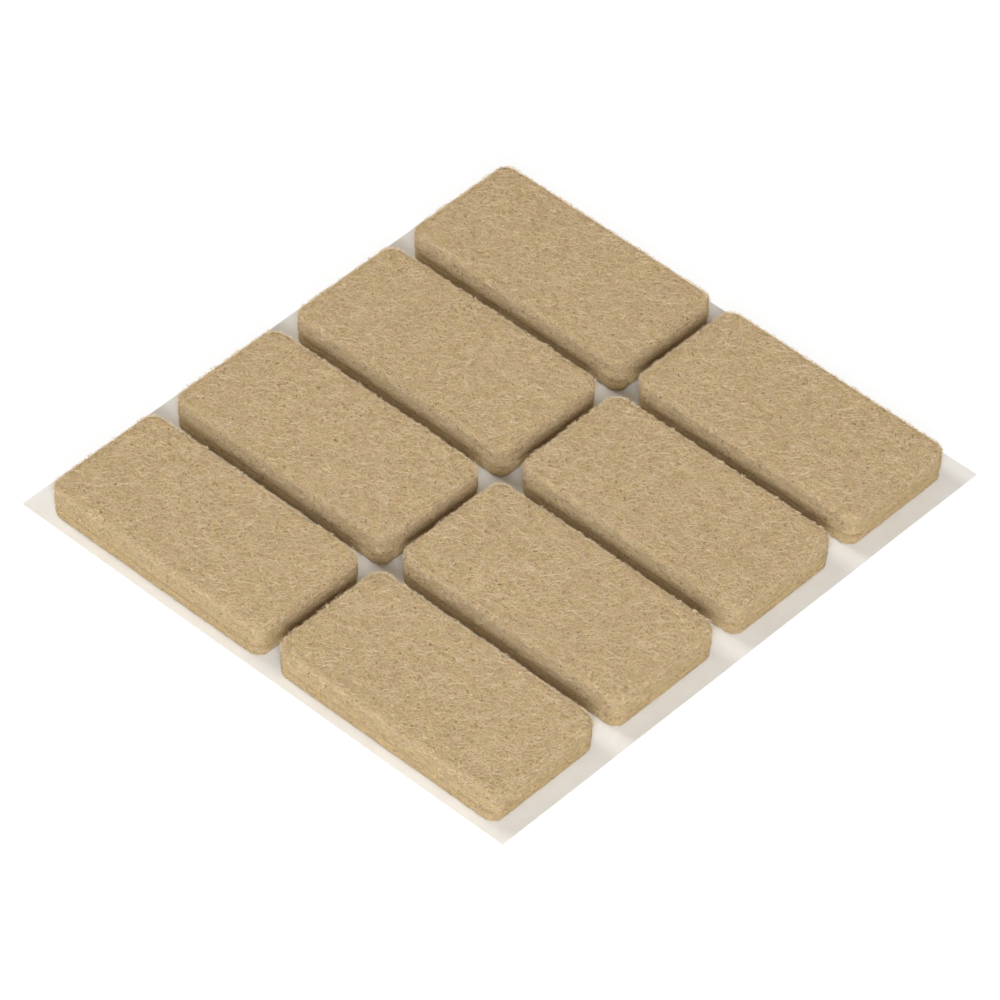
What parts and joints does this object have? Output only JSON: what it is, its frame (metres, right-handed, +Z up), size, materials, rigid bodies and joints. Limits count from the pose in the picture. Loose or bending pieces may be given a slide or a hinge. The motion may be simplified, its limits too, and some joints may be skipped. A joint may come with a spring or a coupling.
{
  "type": "felt furniture slider pads",
  "caption": "Sheet of rectangular two-ply beige felt furniture pads, self-adhesive, in rows on an off-white peel-off release liner.",
  "frame": {"origin": "centre of the release liner's underside, on the surface that the sheet lies on", "axes": "+X along the length of the pads, +Y across the rows from front to back, +Z up from the liner to the felt"},
  "size_m": [0.0898, 0.097, 0.0057],
  "materials": {
    "wear_felt": "needled beige felt, matt, with fine light and dark fibres",
    "base_felt": "needled beige felt, matt, a little paler and yellower than the wear ply",
    "bond_film": "thin hot-melt film, matt",
    "adhesive": "pale tacky pressure-sensitive film, glossy",
    "release_liner": "off-white siliconised paper, smooth, slight sheen"
  },
  "bodies": {
    "sheet": {"release_liner": "release_liner"},
    "pad_1": {"pad_1_wear_felt": "wear_felt", "pad_1_base_felt": "base_felt", "pad_1_bond_film": "bond_film", "pad_1_adhesive_film": "adhesive"},
    "pad_2": {"pad_2_wear_felt": "wear_felt", "pad_2_base_felt": "base_felt", "pad_2_bond_film": "bond_film", "pad_2_adhesive_film": "adhesive"},
    "pad_3": {"pad_3_wear_felt": "wear_felt", "pad_3_base_felt": "base_felt", "pad_3_bond_film": "bond_film", "pad_3_adhesive_film": "adhesive"},
    "pad_4": {"pad_4_wear_felt": "wear_felt", "pad_4_base_felt": "base_felt", "pad_4_bond_film": "bond_film", "pad_4_adhesive_film": "adhesive"},
    "pad_5": {"pad_5_wear_felt": "wear_felt", "pad_5_base_felt": "base_felt", "pad_5_bond_film": "bond_film", "pad_5_adhesive_film": "adhesive"},
    "pad_6": {"pad_6_wear_felt": "wear_felt", "pad_6_base_felt": "base_felt", "pad_6_bond_film": "bond_film", "pad_6_adhesive_film": "adhesive"},
    "pad_7": {"pad_7_wear_felt": "wear_felt", "pad_7_base_felt": "base_felt", "pad_7_bond_film": "bond_film", "pad_7_adhesive_film": "adhesive"},
    "pad_8": {"pad_8_wear_felt": "wear_felt", "pad_8_base_felt": "base_felt", "pad_8_bond_film": "bond_film", "pad_8_adhesive_film": "adhesive"}
  },
  "joints": [
    {"name": "pad_1_peel", "type": "slide", "parent": "sheet", "child": "pad_1", "axis": [0, 0, 1], "range_m": [0, 0.03]},
    {"name": "pad_2_peel", "type": "slide", "parent": "sheet", "child": "pad_2", "axis": [0, 0, 1], "range_m": [0, 0.03]},
    {"name": "pad_3_peel", "type": "slide", "parent": "sheet", "child": "pad_3", "axis": [0, 0, 1], "range_m": [0, 0.03]},
    {"name": "pad_4_peel", "type": "slide", "parent": "sheet", "child": "pad_4", "axis": [0, 0, 1], "range_m": [0, 0.03]},
    {"name": "pad_5_peel", "type": "slide", "parent": "sheet", "child": "pad_5", "axis": [0, 0, 1], "range_m": [0, 0.03]},
    {"name": "pad_6_peel", "type": "slide", "parent": "sheet", "child": "pad_6", "axis": [0, 0, 1], "range_m": [0, 0.03]},
    {"name": "pad_7_peel", "type": "slide", "parent": "sheet", "child": "pad_7", "axis": [0, 0, 1], "range_m": [0, 0.03]},
    {"name": "pad_8_peel", "type": "slide", "parent": "sheet", "child": "pad_8", "axis": [0, 0, 1], "range_m": [0, 0.03]}
  ]
}
